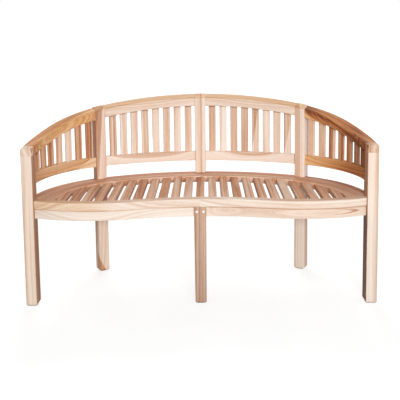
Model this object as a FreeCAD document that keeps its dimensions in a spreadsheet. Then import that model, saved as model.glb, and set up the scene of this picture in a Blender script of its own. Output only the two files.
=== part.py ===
import FreeCAD, Part
import os
import re
import Sketcher

# Curved garden bench of solid teak. Two front posts, two back posts, a middle back post and a middle
# front leg carry curved top rails, curved lower rails and a curved seat frame; slats sit in mortises.
# Frame: seen from the front X runs right, Y runs to the back, Z runs up. The origin is on the floor
# under the middle of the overall box. Lengths are millimetres, angles are degrees, right means +X.
# Every right-hand piece is built once and mirrored to the left.

doc = FreeCAD.newDocument("bench")

BACK_SLATS = 8        # slats in each half of the back
ARM_SLATS = 8         # slats in each arm
SIDE_SLATS = 11       # seat slats on each side of the middle one
SPREAD = 400          # how far construction solids run past the bench
OVERRUN = 1           # how far a cutting solid passes the face it opens
LONG_EDGE = 150       # edges of a curved blank longer than this are its long edges
LOBE_SWEEP = 40       # degrees that the curve of a swell is run past its middle
UP = FreeCAD.Vector(0, 0, 1)

# Driving sizes: name, number, what it measures
SIZES = (
    ("overall_width", 1500, "over the outer faces of the front posts"),
    ("overall_depth", 657, "front of the seat's swells to the rear of the middle back post"),
    ("overall_height", 852, "floor to the highest edge at the middle of the back"),
    ("front_post_width", 47.5, "front post, face"),
    ("front_post_depth", 67, "front post, front to back"),
    ("back_post_side", 50, "square section of a back post"),
    ("centre_post_width", 53, "face of the middle back post"),
    ("foot_bevel", 8, "bevel round the bottom of a leg"),
    ("edge_bevel", 2.5, "bevel along posts, rails and boards"),
    ("arm_bevel", 6, "bevel along the top of the arms"),
    ("back_turn", 29.8, "angle from the middle of the back to a back post"),
    ("arm_straight", 50, "straight run at the front end of an arm"),
    ("seat_height", 460, "floor to the top of the seat frame"),
    ("lobe_reach", 40, "how far the seat front swells ahead of the front posts"),
    ("lobe_side", 252, "middle of each swell to the inner side of a front post"),
    ("centre_recess", 16.5, "how far the seat front falls back at the middle"),
    ("board_inset", 8, "board's front edge behind the face of a front post where they meet"),
    ("board_depth", 45, "front seat board, front to back"),
    ("board_thickness", 33, "front seat board, top to bottom"),
    ("board_tenon_depth", 24, "front seat board's tenon, front to back"),
    ("apron_height", 44, "apron under the front seat board"),
    ("apron_thickness", 26, "apron, front to back"),
    ("apron_setback", 8, "apron face behind the board's edge"),
    ("leg_head_width", 53, "middle front leg under the board"),
    ("leg_foot_width", 48, "middle front leg at the floor"),
    ("leg_depth", 48, "middle front leg, front to back"),
    ("leg_setback", 1, "middle front leg's face behind the board's edge"),
    ("seat_rail_inside", 106, "rear seat rail, reach inside the rails' centreline"),
    ("seat_rail_outside", 6, "rear seat rail, reach outside the rails' centreline"),
    ("seat_rail_thickness", 30, "rear seat rail, top to bottom"),
    ("trench", 4, "how deep the rear seat rail is let into the posts"),
    ("seat_slat_width", 36, "seat slat"),
    ("seat_slat_thickness", 20, "seat slat"),
    ("seat_side_margin", 129, "last seat slat's middle to the middle of a front post"),
    ("seat_slat_drop", 5, "seat slats below the top of the seat frame"),
    ("lower_gap", 59, "between the seat frame and the lower rails"),
    ("lower_rail_height", 46, "lower rail, top to bottom"),
    ("lower_rail_thickness", 30, "lower rail, inside to outside"),
    ("top_rail_width", 47, "top rail, inside to outside"),
    ("arm_rise", 194, "seat frame to the top of a front post"),
    ("arm_front_depth", 34.5, "depth of an arm's level front end"),
    ("top_lead", 123.5, "front of an arm to where the slope of its top would start"),
    ("top_bend_radius", 1010, "curve of the arm's top towards the front"),
    ("back_rail_depth", 42, "depth of the top rail at the rear line"),
    ("under_lead", 84, "rear of a front post to where the slope of the arm's underside would start"),
    ("slat_width", 34, "slats of the back and the arms"),
    ("slat_thickness", 12, "slats of the back and the arms"),
    ("slat_bevel", 1.5, "bevel along the edges of a slat"),
    ("middle_end_gap", 16.5, "between the middle back post and the next slat"),
    ("back_end_gap", 29, "between a back post and the next slat of the back"),
    ("arm_rear_gap", 12, "between a back post and the next slat of the arm"),
    ("arm_front_gap", 7, "between a front post and the next slat of the arm"),
    ("housing", 12, "how far a slat's end enters its mortise"),
    ("tenon_length", 22, "how far a tenon enters its post"),
    ("tenon_root", 15, "how far a tenon is part of its rail"),
    ("tenon_thickness", 14, "tenon, across the rail"),
    ("tenon_shoulder", 8, "straight rail beyond its tenon, above and below"),
    ("top_tenon_shoulder", 13, "sloping top rail beyond its tenon, above and below"),
    ("post_tenon_side", 22, "square tenon on top of a front post"),
    ("tongue_length", 40, "loose tongues of the seat frame"),
    ("tongue_width", 30, "loose tongues of the seat frame"),
    ("tongue_thickness", 10, "loose tongues of the seat frame"),
    ("tongue_place", 150, "distance of the board's inner tongues from the middle"),
    ("screw_spacing", 29, "distance between the two screws of the middle leg"),
    ("screw_head_diameter", 9.5, "screw of the middle leg"),
    ("screw_head_height", 2.5, "screw of the middle leg"),
    ("screw_shank_diameter", 5, "screw of the middle leg"),
    ("screw_length", 25, "screw of the middle leg, under its head"),
    ("fit_gap", 0.2, "clearance on each side of a joint"),
)

# Places worked out from the driving sizes: name, formula
PLACES = (
    ("arc_degree", "pi / 180"),
    ("half_span", "overall_width / 2 - front_post_width / 2"),
    ("rear_line", "overall_depth / 2"),
    ("front_line", "lobe_reach - overall_depth / 2"),
    ("rail_middle_y", "rear_line - back_post_side / 2"),
    ("curve_depth", "rail_middle_y - front_line - arm_straight"),
    ("curve_share", "sin(back_turn) + cos(back_turn) - 1"),
    ("back_radius", "(half_span * cos(back_turn) - curve_depth * (1 - sin(back_turn))) / curve_share"),
    ("arm_radius", "(curve_depth * sin(back_turn) - half_span * (1 - cos(back_turn))) / curve_share"),
    ("radius_step", "back_radius - arm_radius"),
    ("back_centre_y", "rail_middle_y - back_radius"),
    ("arm_centre_x", "radius_step * sin(back_turn)"),
    ("arm_centre_y", "front_line + arm_straight"),
    ("post_x", "back_radius * sin(back_turn)"),
    ("post_y", "back_centre_y + back_radius * cos(back_turn)"),
    ("post_spin", "90 - back_turn"),
    ("front_post_y", "front_line + front_post_depth / 2"),
    ("front_post_inside", "half_span - front_post_width / 2"),
    ("front_post_rear", "front_line + front_post_depth"),
    ("lobe_place", "front_post_inside - lobe_side"),
    ("lobe_drop", "lobe_reach + board_inset"),
    ("lobe_radius", "(lobe_side * lobe_side + lobe_drop * lobe_drop) / (2 * lobe_drop)"),
    ("wave", "lobe_reach + centre_recess"),
    ("sway", "(lobe_place * lobe_place + wave * wave) / (2 * wave)"),
    ("bay_radius", "sway - lobe_radius"),
    ("swing", "asin(lobe_place / sway) / 1 deg"),
    ("lobe_centre_y", "front_line - lobe_reach + lobe_radius"),
    ("bay_centre_y", "front_line + centre_recess - bay_radius"),
    ("board_base", "seat_height - board_thickness"),
    ("apron_base", "board_base - apron_height"),
    ("apron_middle", "apron_base + apron_height / 2"),
    ("leg_front", "front_line + centre_recess + leg_setback"),
    ("leg_apron_y", "front_line + centre_recess + apron_setback + apron_thickness / 2"),
    ("seat_rail_base", "seat_height - seat_rail_thickness"),
    ("seat_slat_base", "seat_height - seat_slat_drop - seat_slat_thickness"),
    ("seat_slat_middle", "seat_slat_base + seat_slat_thickness / 2"),
    ("seat_rail_middle", "seat_rail_base + seat_rail_thickness / 2"),
    ("seat_slat_pitch", f"(half_span - seat_side_margin) / {SIDE_SLATS}"),
    ("board_middle", "board_base + board_thickness / 2"),
    ("board_joint_y", "front_line + board_inset + board_depth / 2"),
    ("apron_joint_y", "front_line + board_inset + apron_setback + apron_thickness / 2"),
    ("lower_rail_base", "seat_height + lower_gap"),
    ("lower_rail_middle", "lower_rail_base + lower_rail_height / 2"),
    ("lower_rail_top", "lower_rail_base + lower_rail_height"),
    ("arm_seat_height", "seat_height + arm_rise"),
    ("top_level", "arm_seat_height + arm_front_depth"),
    ("top_run", "rear_line - front_line - top_lead"),
    ("top_slope", "atan((overall_height - top_level) / top_run) / 1 deg"),
    ("under_rear", "overall_height - back_rail_depth"),
    ("under_run", "rear_line - front_post_rear - under_lead"),
    ("under_slope", "atan((under_rear - arm_seat_height) / under_run) / 1 deg"),
    ("under_bend_radius", "under_lead / tan(under_slope / 2)"),
    ("back_run", "back_radius * back_turn * arc_degree - back_post_side / 2 - centre_post_width / 2"),
    ("back_slat_room", f"back_run - middle_end_gap - back_end_gap - {BACK_SLATS} * slat_width"),
    ("back_slat_pitch", f"back_slat_room / {BACK_SLATS - 1} + slat_width"),
    ("arm_curve", "arm_radius * post_spin * arc_degree"),
    ("arm_run", "arm_curve + arm_straight - front_post_depth - back_post_side / 2"),
    ("arm_slat_room", f"arm_run - arm_rear_gap - arm_front_gap - {ARM_SLATS} * slat_width"),
    ("arm_slat_pitch", f"arm_slat_room / {ARM_SLATS - 1} + slat_width"),
)

home = {}
pieces = []


def fill_sheet(name, rows, formulas):
    """A spreadsheet with one aliased cell per row: plain numbers, or formulas of earlier names."""
    sheet = doc.addObject("Spreadsheet::Sheet", name)
    for row, (alias, content, *note) in enumerate(rows, start=1):
        sheet.set(f"A{row}", alias)
        sheet.set(f"B{row}", "=" + spelled(content) if formulas else str(content))
        sheet.set(f"C{row}", note[0] if note else "")
        sheet.setAlias(f"B{row}", alias)
        home[alias] = name
    doc.recompute()
    return sheet


def spelled(formula):
    """The formula with each size and place named in full, sheet and cell."""
    return re.sub(r"[A-Za-z_]\w*", lambda word: full_name(word[0]), str(formula))


def full_name(word):
    return f"{home[word]}.{word}" if word in home else word


def number(formula):
    """The formula's value as a plain number."""
    found = sizes.evalExpression(spelled(formula))
    return float(getattr(found, "Value", found))


def bind(thing, **formulas):
    """Ties properties of an object to formulas; x, y, z and spin stand for its placement."""
    paths = {"x": "Placement.Base.x", "y": "Placement.Base.y", "z": "Placement.Base.z"}
    paths["spin"] = "Placement.Rotation.Angle"
    for name, formula in formulas.items():
        thing.setExpression(paths.get(name, name), spelled(formula))
    return thing


sizes = fill_sheet("sizes", SIZES, formulas=False)
places = fill_sheet("places", PLACES, formulas=True)

# Plan centres of the curves
BACK_CENTRE = ("0", "back_centre_y")
ARM_CENTRE = ("arm_centre_x", "arm_centre_y")
BAY_CENTRE = ("0", "bay_centre_y")
LOBE_CENTRE = ("lobe_place", "lobe_centre_y")
BACK_POST = ("post_x", "post_y")
MIDDLE_POST = ("0", "rail_middle_y")


# Solids and booleans

def box(name, length, width, height, x, y, z, spin="0", centre=("0", "0")):
    """A block whose corner is at x, y from a centre, turned about that centre by spin."""
    block = doc.addObject("Part::Box", name)
    bind(block, Length=length, Width=width, Height=height, z=z, spin=spin)
    bind(block, x=f"{centre[0]} + ({x}) * cos({spin}) - ({y}) * sin({spin})")
    bind(block, y=f"{centre[1]} + ({x}) * sin({spin}) + ({y}) * cos({spin})")
    return block


def sector(name, centre, radius, start, sweep, base, height):
    """A sector of a cylinder that starts at an angle from +X and runs anticlockwise."""
    solid = doc.addObject("Part::Cylinder", name)
    bind(solid, Radius=radius, Angle=sweep, Height=height, spin=start)
    return bind(solid, x=centre[0], y=centre[1], z=base)


def boolean(kind, name, base, tool):
    """A Cut, Common or Fuse of two solids."""
    result = doc.addObject(f"Part::{kind}", name)
    result.Base = base
    result.Tool = tool
    return result


def carved(name, base, tools):
    """The base with the tools cut from it one after the other."""
    for place, tool in enumerate(tools, start=1):
        base = boolean("Cut", f"{name}_cut_{place}", base, tool)
    return base


def group(name, members):
    result = doc.addObject("Part::Compound", name)
    result.Links = members
    return result


def mirror(name, source):
    """The same shape on the left-hand side."""
    copy = doc.addObject("Part::Mirroring", name)
    copy.Source = source
    copy.Normal = FreeCAD.Vector(1, 0, 0)
    return copy


def ring(name, centre, inside, outside, start, sweep, base, height):
    """A sector of a flat ring, the blank of every curved rail and board."""
    outer = sector(name + "_outer", centre, outside, start, sweep, base, height)
    core_base = f"{base} - {OVERRUN}"
    inner = sector(name + "_inner", centre, inside, "0", "360", core_base, f"{height} + 2 * {OVERRUN}")
    return boolean("Cut", name, outer, inner)


def bevelled(name, base, size, wanted):
    """The base with its wanted edges bevelled."""
    doc.recompute()
    result = doc.addObject("Part::Chamfer", name)
    result.Base = base
    chosen = [place for place, edge in enumerate(base.Shape.Edges, start=1) if wanted(edge)]
    result.Edges = [(place, number(size), number(size)) for place in chosen]
    doc.recompute()
    return result


def runs_along(edge, direction):
    straight = edge.Curve.TypeId == "Part::GeomLine"
    return straight and abs(edge.tangentAt(edge.FirstParameter).dot(direction)) > 0.999


def is_long(edge):
    return edge.Length > LONG_EDGE


def middle_of(edge):
    return edge.valueAt((edge.FirstParameter + edge.LastParameter) / 2)


def is_long_above(height):
    """Picks the long edges above a height given as a formula."""
    return lambda edge: is_long(edge) and middle_of(edge).z > number(height)


def piece(label, thing):
    """Marks an object as a piece of the bench."""
    thing.Label = label
    pieces.append(thing)
    return thing


# Sketches in bodies

def new_sketch(body, name, role, offset=None):
    sketch = body.newObject("Sketcher::SketchObject", name)
    plane = next(part for part in body.Origin.OriginFeatures if part.Role == role)
    sketch.AttachmentSupport = [(plane, "")]
    sketch.MapMode = "FlatFace"
    if offset:
        sketch.setExpression("AttachmentOffset.Base.z", spelled(offset))
    return sketch


def spot(across, up):
    return FreeCAD.Vector(number(across), number(up), 0)


def pin(sketch, line, end, across, up):
    """Fixes one end of a line by two formulas."""
    for kind, formula in (("DistanceX", across), ("DistanceY", up)):
        rule = Sketcher.Constraint(kind, -1, 1, line, end, number(formula))
        sketch.setExpression(f"Constraints[{sketch.addConstraint(rule)}]", spelled(formula))


def outline(sketch, corners):
    """A closed outline of straight lines through corners given as formulas."""
    points = [spot(*corner) for corner in corners]
    ends = zip(points, points[1:] + points[:1])
    lines = [sketch.addGeometry(Part.LineSegment(start, finish), False) for start, finish in ends]
    for line, following in zip(lines, lines[1:] + lines[:1]):
        sketch.addConstraint(Sketcher.Constraint("Coincident", line, 2, following, 1))
    for line, corner in zip(lines, corners):
        pin(sketch, line, 1, *corner)
    doc.recompute()


def rectangle(sketch, width, depth):
    """A rectangle about the sketch's origin."""
    half_width = f"({width}) / 2"
    half_depth = f"({depth}) / 2"
    left = f"-{half_width}"
    front = f"-{half_depth}"
    corners = [(left, front), (half_width, front), (half_width, half_depth), (left, half_depth)]
    outline(sketch, corners)


def dress(body, kind, name, size, wanted):
    """A PartDesign Fillet or Chamfer on the wanted edges of the body as it is so far."""
    doc.recompute()
    base = body.Tip
    chosen = [f"Edge{place}" for place, edge in enumerate(base.Shape.Edges, start=1) if wanted(edge)]
    feature = body.newObject(f"PartDesign::{kind}", name)
    feature.Base = (base, chosen)
    bind(feature, **{"Radius" if kind == "Fillet" else "Size": size})
    doc.recompute()


def pad(body, name, sketch, length):
    feature = body.newObject("PartDesign::Pad", name)
    feature.Profile = sketch
    bind(feature, Length=length)
    doc.recompute()
    return feature


# Side profiles on the YZ plane, run across the whole bench: all that lies under the slope of the top
# edge, under the top rails, and under the ends of the slats. Each is level in front, bends and then
# rises straight.

def side_profile(name, rear_height, slope, level, radius):
    front = f"front_line - {SPREAD}"
    rear = f"rear_line + {SPREAD}"
    rear_top = f"{rear_height} + {SPREAD} * tan({slope})"
    knee = f"rear_line - ({rear_height} - ({level})) / tan({slope})"
    reach = f"{radius} * tan({slope} / 2)"
    turn_in = spot(f"{knee} - {reach}", level)
    turn_out = spot(f"{knee} + {reach} * cos({slope})", f"{level} + {reach} * sin({slope})")
    bend_y = f"{knee} - {reach} + {radius} * sin({slope} / 2)"
    bend = spot(bend_y, f"{level} + {radius} * (1 - cos({slope} / 2))")
    body = doc.addObject("PartDesign::Body", name)
    sketch = new_sketch(body, name + "_sketch", "YZ_Plane")
    lead = sketch.addGeometry(Part.LineSegment(spot(front, level), turn_in), False)
    arc = sketch.addGeometry(Part.Arc(turn_in, bend, turn_out), False)
    trail = sketch.addGeometry(Part.LineSegment(turn_out, spot(rear, rear_top)), False)
    back = sketch.addGeometry(Part.LineSegment(spot(rear, rear_top), spot(rear, "0")), False)
    floor = sketch.addGeometry(Part.LineSegment(spot(rear, "0"), spot(front, "0")), False)
    face = sketch.addGeometry(Part.LineSegment(spot(front, "0"), spot(front, level)), False)
    for first, second in ((trail, back), (back, floor), (floor, face), (face, lead)):
        sketch.addConstraint(Sketcher.Constraint("Coincident", first, 2, second, 1))
    sketch.addConstraint(Sketcher.Constraint("Tangent", lead, 2, arc, 1))
    sketch.addConstraint(Sketcher.Constraint("Tangent", arc, 2, trail, 1))
    sketch.addConstraint(Sketcher.Constraint("Horizontal", lead))
    pin(sketch, lead, 1, front, level)
    pin(sketch, trail, 2, rear, rear_top)
    pin(sketch, floor, 1, rear, "0")
    pin(sketch, floor, 2, front, "0")
    size = sketch.addConstraint(Sketcher.Constraint("Radius", arc, number(radius)))
    sketch.setExpression(f"Constraints[{size}]", spelled(radius))
    lean = sketch.addConstraint(Sketcher.Constraint("Angle", trail, number(f"{slope} * arc_degree")))
    sketch.setExpression(f"Constraints[{lean}]", spelled(f"{slope} * 1 deg"))
    doc.recompute()
    pad(body, name + "_pad", sketch, f"overall_width + {SPREAD}").SideType = "Symmetric"
    doc.recompute()
    return body


def slat_roof(name, raise_by):
    """The underside of the top rails, raised by the depth of the slats' mortises."""
    rear = f"under_rear + {raise_by}"
    return side_profile(name, rear, "under_slope", f"arm_seat_height + {raise_by}", "under_bend_radius")


under_top = side_profile("under_top", "overall_height", "top_slope", "top_level", "top_bend_radius")
under_rail = side_profile("under_rail", "under_rear", "under_slope", "arm_seat_height", "under_bend_radius")
under_slat_ends = slat_roof("under_slat_ends", "housing")
under_mortises = slat_roof("under_mortises", "housing + fit_gap")


# Joints: a tenon and its mortise are the same block, the mortise larger by the clearance

def side_joint(name, centre, spin, half, toward, base, height, mortise):
    """A tenon block beside a post; toward is 1 on the side to the middle of the back, else -1."""
    gap = "fit_gap" if mortise else "0"
    depth = f"tenon_length + tenon_root + {gap}"
    near = f"{half} - tenon_length - {gap}"
    y = near if toward > 0 else f"-({near}) - ({depth})"
    x = f"-tenon_thickness / 2 - {gap}"
    thickness = f"tenon_thickness + 2 * {gap}"
    return box(name, thickness, depth, f"{height} + 2 * {gap}", x, y, f"{base} - {gap}", spin, centre)


def front_joint(name, middle_y, depth, base, height, mortise):
    """A tenon block in the inner side of the front post."""
    gap = "fit_gap" if mortise else "0"
    length = f"tenon_root + tenon_length + {gap}"
    y = f"{middle_y} - ({depth}) / 2 - {gap}"
    height = f"{height} + 2 * {gap}"
    x = "front_post_inside - tenon_root"
    return box(name, length, f"{depth} + 2 * {gap}", height, x, y, f"{base} - {gap}")


LOWER_TENON = ("lower_rail_base + tenon_shoulder", "lower_rail_height - 2 * tenon_shoulder")


def top_tenon(y):
    """Base and height of a top rail's tenon in the post that stands at y."""
    under = f"under_rear - (rear_line - {y}) * tan(under_slope)"
    over = f"overall_height - (rear_line - {y}) * tan(top_slope)"
    return f"{under} + top_tenon_shoulder", f"{over} - ({under}) - 2 * top_tenon_shoulder"


def back_post_joints(toward, name, mortise):
    """Lower and top joint on one side of the right back post."""
    place = (BACK_POST, "post_spin", "back_post_side / 2", toward)
    lower = side_joint(name + "_lower", *place, *LOWER_TENON, mortise)
    upper = side_joint(name + "_upper", *place, *top_tenon("post_y"), mortise)
    return lower, upper


def middle_post_joints(toward, name, mortise):
    """Lower and top joint on one side of the middle back post."""
    place = (MIDDLE_POST, "90", "centre_post_width / 2", toward)
    lower = side_joint(name + "_lower", *place, *LOWER_TENON, mortise)
    upper = side_joint(name + "_upper", *place, *top_tenon("rail_middle_y"), mortise)
    return lower, upper


def arm_front_joint(name, mortise):
    """The lower arm rail's tenon in the rear face of the front post."""
    gap = "fit_gap" if mortise else "0"
    base, height = LOWER_TENON
    x = f"half_span - tenon_thickness / 2 - {gap}"
    y = f"front_post_rear - tenon_length - {gap}"
    depth = f"tenon_length + tenon_root + {gap}"
    thickness = f"tenon_thickness + 2 * {gap}"
    return box(name, thickness, depth, f"{height} + 2 * {gap}", x, y, f"{base} - {gap}")


BOARD_TENON = ("board_base + tenon_shoulder", "board_thickness - 2 * tenon_shoulder")
APRON_TENON = ("apron_base + tenon_shoulder", "apron_height - 2 * tenon_shoulder")


def seat_front_joints(name, mortise):
    """The tenons of the seat board and the apron in the inner side of the front post."""
    board = front_joint(name + "_board", "board_joint_y", "board_tenon_depth", *BOARD_TENON, mortise)
    apron = front_joint(name + "_apron", "apron_joint_y", "tenon_thickness", *APRON_TENON, mortise)
    return board, apron


def leg_joint(name, mortise):
    """The apron's tenon in the right side of the middle leg."""
    gap = "fit_gap" if mortise else "0"
    base, height = APRON_TENON
    x = f"leg_head_width / 2 - tenon_length - {gap}"
    y = f"leg_apron_y - tenon_thickness / 2 - {gap}"
    length = f"tenon_length + tenon_root + {gap}"
    thickness = f"tenon_thickness + 2 * {gap}"
    return box(name, length, thickness, f"{height} + 2 * {gap}", x, y, f"{base} - {gap}")


# Room each post takes out of the rails, larger than the post by the clearance, and out of the seat rail,
# which is let into trenches in the posts

def post_room(name, width, depth, let_in, spin, centre):
    """A tall block round a post's section; it is open on the outer side of the bench."""
    side = f"({width}) / 2 - ({let_in}) + fit_gap"
    front = f"({depth}) / 2 - ({let_in}) + fit_gap"
    return box(name, f"{front} + {SPREAD}", f"2 * ({side})", f"overall_height + {SPREAD}",
               f"-({front})", f"-({side})", "0", spin, centre)


back_room = post_room("back_room", "back_post_side", "back_post_side", "0", "post_spin", BACK_POST)
middle_room = post_room("middle_room", "centre_post_width", "back_post_side", "0", "90", MIDDLE_POST)
back_core = post_room("back_core", "back_post_side", "back_post_side", "trench", "post_spin", BACK_POST)
middle_core = post_room("middle_core", "centre_post_width", "back_post_side", "trench", "90", MIDDLE_POST)
let_in = "trench + fit_gap"
back_stay = post_room("back_stay", "back_post_side", "back_post_side", let_in, "post_spin", BACK_POST)
middle_stay = post_room("middle_stay", "centre_post_width", "back_post_side", let_in, "90", MIDDLE_POST)


# Slats of the back and the arms, and the blocks that cut their mortises

def upright(name, centre, radius, turn, mortise):
    """One upright slat on a rail's centreline, turned from the middle of the back by an angle."""
    gap = "fit_gap" if mortise else "0"
    thickness = f"slat_thickness + 2 * {gap}"
    width = f"slat_width + 2 * {gap}"
    x = f"{radius} - slat_thickness / 2 - {gap}"
    y = f"-slat_width / 2 - {gap}"
    z = f"lower_rail_top - housing - {gap}"
    return box(name, thickness, width, "overall_height", x, y, z, f"90 - ({turn})", centre)


def back_slat(place, name, mortise):
    run = f"centre_post_width / 2 + middle_end_gap + slat_width / 2 + back_slat_pitch * {place}"
    turn = f"({run}) / back_radius / arc_degree"
    return upright(f"{name}_{place}", BACK_CENTRE, "back_radius", turn, mortise)


def arm_slat(place, name, mortise):
    run = f"back_post_side / 2 + arm_rear_gap + slat_width / 2 + arm_slat_pitch * {place}"
    turn = f"back_turn + ({run}) / arm_radius / arc_degree"
    return upright(f"{name}_{place}", ARM_CENTRE, "arm_radius", turn, mortise)


def slat_panel(name, slat, count):
    """All slats of a panel, bevelled and cut to the slope of the top rail, and their mortise blocks."""
    blanks = [slat(place, name + "_blank", False) for place in range(count)]
    doc.recompute()
    slats = [bevelled(f"{blank.Name}_eased", blank, "slat_bevel", lambda edge: runs_along(edge, UP))
             for blank in blanks]
    rooms = [slat(place, name + "_room", True) for place in range(count)]
    panel = boolean("Common", name, group(name + "_all", slats), under_slat_ends)
    mortises = boolean("Common", name + "_mortises", group(name + "_rooms", rooms), under_mortises)
    return panel, mortises


back_slats, back_mortises = slat_panel("back_slats", back_slat, BACK_SLATS)
arm_slats, arm_mortises = slat_panel("arm_slats", arm_slat, ARM_SLATS)
piece("back_slats_right", back_slats)
piece("arm_slats_right", arm_slats)


# Posts

def post_body(name, width, depth, height):
    """A square post with a bevelled foot and bevelled corners."""
    body = doc.addObject("PartDesign::Body", name)
    section = new_sketch(body, name + "_section", "XY_Plane")
    rectangle(section, width, depth)
    pad(body, name + "_shaft", section, height)
    return body


def bevel_corners(body):
    dress(body, "Chamfer", body.Name + "_corners", "edge_bevel",
          lambda edge: runs_along(edge, UP) and is_long(edge))


def bevel_foot(body):
    dress(body, "Chamfer", body.Name + "_foot", "foot_bevel",
          lambda edge: edge.BoundBox.ZMax < 0.01)


front_post = post_body("front_post", "front_post_width", "front_post_depth", "arm_seat_height")
tenon_section = new_sketch(front_post, "front_post_tenon_section", "XY_Plane", "arm_seat_height")
rectangle(tenon_section, "post_tenon_side", "post_tenon_side")
pad(front_post, "front_post_tenon", tenon_section, "post_tenon_side")
bevel_foot(front_post)
bevel_corners(front_post)
bind(front_post, x="half_span", y="front_post_y")

back_post = post_body("back_post", "back_post_side", "back_post_side", "overall_height")
bevel_foot(back_post)
bevel_corners(back_post)
bind(back_post, x="post_x", y="post_y", spin="post_spin")

middle_height = "overall_height - seat_rail_base"
middle_post = post_body("middle_post", "centre_post_width", "back_post_side", middle_height)
bevel_corners(middle_post)
bind(middle_post, y="rail_middle_y", z="seat_rail_base")

post_trench = box("post_trench", "front_post_width / 2 + seat_rail_outside + fit_gap",
                  f"trench + {OVERRUN}", "seat_rail_thickness + 2 * fit_gap", "front_post_inside",
                  "front_post_rear - trench", "seat_rail_base - fit_gap")
front_cuts = [arm_front_joint("arm_front_mortise", True), *seat_front_joints("front_mortise", True)]
front_cuts.append(post_trench)
piece("front_post_right", carved("front_post", front_post, front_cuts))

trench_layer = ring("trench_layer", BACK_CENTRE, "back_radius - seat_rail_inside",
                    "back_radius + seat_rail_outside + fit_gap", "0", "180",
                    "seat_rail_base - fit_gap", "seat_rail_thickness + 2 * fit_gap")
back_trench = boolean("Cut", "back_trench", trench_layer, back_stay)
middle_trench = boolean("Cut", "middle_trench", trench_layer, middle_stay)

back_cuts = [*back_post_joints(1, "back_mortise", True), *back_post_joints(-1, "arm_mortise", True)]
back_cuts.append(back_trench)
back_sloped = boolean("Common", "back_post_sloped", back_post, under_top)
piece("back_post_right", carved("back_post", back_sloped, back_cuts))

middle_cuts = [*middle_post_joints(1, "left_mortise", True), *middle_post_joints(-1, "right_mortise", True)]
middle_cuts.append(middle_trench)
middle_sloped = boolean("Common", "middle_post_sloped", middle_post, under_top)
piece("back_post_middle", carved("middle_post", middle_sloped, middle_cuts))


# Top rails and lower rails

def joined(name, base, tenons, cuts):
    """A shaped rail with its tenons added and its mortises cut."""
    for place, tenon in enumerate(tenons, start=1):
        base = boolean("Fuse", f"{name}_tenon_{place}", base, tenon)
    return carved(name, base, cuts)


def is_upper(edge):
    """Edges along the top of a top rail's blank, not those round its underside or at its ends."""
    spot_on = middle_of(edge)
    under = number("under_rear") - (number("rear_line") - spot_on.y) * number("tan(under_slope)")
    floor = max(under, number("arm_seat_height"))
    return not runs_along(edge, UP) and spot_on.z > floor + number("back_rail_depth") / 2


rail_slab = boolean("Cut", "rail_slab", under_top, under_rail)
front_room = box("front_room", f"front_post_width + {SPREAD}", f"{SPREAD} + front_post_depth + fit_gap",
                 "overall_height", "front_post_inside - fit_gap", f"front_line - {SPREAD}", "0")

top_ring = ring("top_ring", BACK_CENTRE, "back_radius - top_rail_width / 2",
                "back_radius + top_rail_width / 2", "post_spin", "back_turn",
                "0", f"overall_height + {SPREAD}")
top_blank = boolean("Common", "top_blank", top_ring, rail_slab)
top_eased = bevelled("top_eased", top_blank, "edge_bevel", is_long)
top_shaped = carved("top_shaped", top_eased, [back_room, middle_room])
top_tenons = [back_post_joints(1, "top_outer", False)[1], middle_post_joints(-1, "top_inner", False)[1]]
piece("top_rail_right", joined("top_rail", top_shaped, top_tenons, [back_mortises]))

arm_ring = ring("arm_ring", ARM_CENTRE, "arm_radius - top_rail_width / 2",
                "arm_radius + top_rail_width / 2", "0", "post_spin", "0", f"overall_height + {SPREAD}")
arm_run_block = box("arm_run_block", "top_rail_width", "arm_straight", f"overall_height + {SPREAD}",
                    "half_span - top_rail_width / 2", "front_line", "0")
arm_whole = boolean("Fuse", "arm_whole", arm_ring, arm_run_block)
arm_blank = boolean("Common", "arm_blank", arm_whole, rail_slab)
arm_eased = bevelled("arm_eased", arm_blank, "arm_bevel", is_upper)
arm_shaped = boolean("Cut", "arm_shaped", arm_eased, back_room)
post_socket = box("post_socket", "post_tenon_side + 2 * fit_gap", "post_tenon_side + 2 * fit_gap",
                  f"post_tenon_side + fit_gap + {OVERRUN}", "half_span - post_tenon_side / 2 - fit_gap",
                  "front_post_y - post_tenon_side / 2 - fit_gap", f"arm_seat_height - {OVERRUN}")
arm_tenons = [back_post_joints(-1, "arm_rear", False)[1]]
piece("arm_rail_right", joined("arm_rail", arm_shaped, arm_tenons, [arm_mortises, post_socket]))

lower_ring = ring("lower_ring", BACK_CENTRE, "back_radius - lower_rail_thickness / 2",
                  "back_radius + lower_rail_thickness / 2", "post_spin", "back_turn",
                  "lower_rail_base", "lower_rail_height")
lower_eased = bevelled("lower_eased", lower_ring, "edge_bevel", is_long_above("lower_rail_middle"))
lower_shaped = carved("lower_shaped", lower_eased, [back_room, middle_room])
lower_tenons = [back_post_joints(1, "lower_outer", False)[0]]
lower_tenons.append(middle_post_joints(-1, "lower_inner", False)[0])
piece("lower_rail_right", joined("lower_rail", lower_shaped, lower_tenons, [back_mortises]))

side_ring = ring("side_ring", ARM_CENTRE, "arm_radius - lower_rail_thickness / 2",
                 "arm_radius + lower_rail_thickness / 2", "0", "post_spin",
                 "lower_rail_base", "lower_rail_height")
side_eased = bevelled("side_eased", side_ring, "edge_bevel", is_long_above("lower_rail_middle"))
side_shaped = carved("side_shaped", side_eased, [back_room, front_room])
side_tenons = [back_post_joints(-1, "side_rear", False)[0], arm_front_joint("side_front", False)]
piece("lower_arm_rail_right", joined("side_rail", side_shaped, side_tenons, [arm_mortises]))


# Seat slats, cut to the curves of the seat frame

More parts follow.
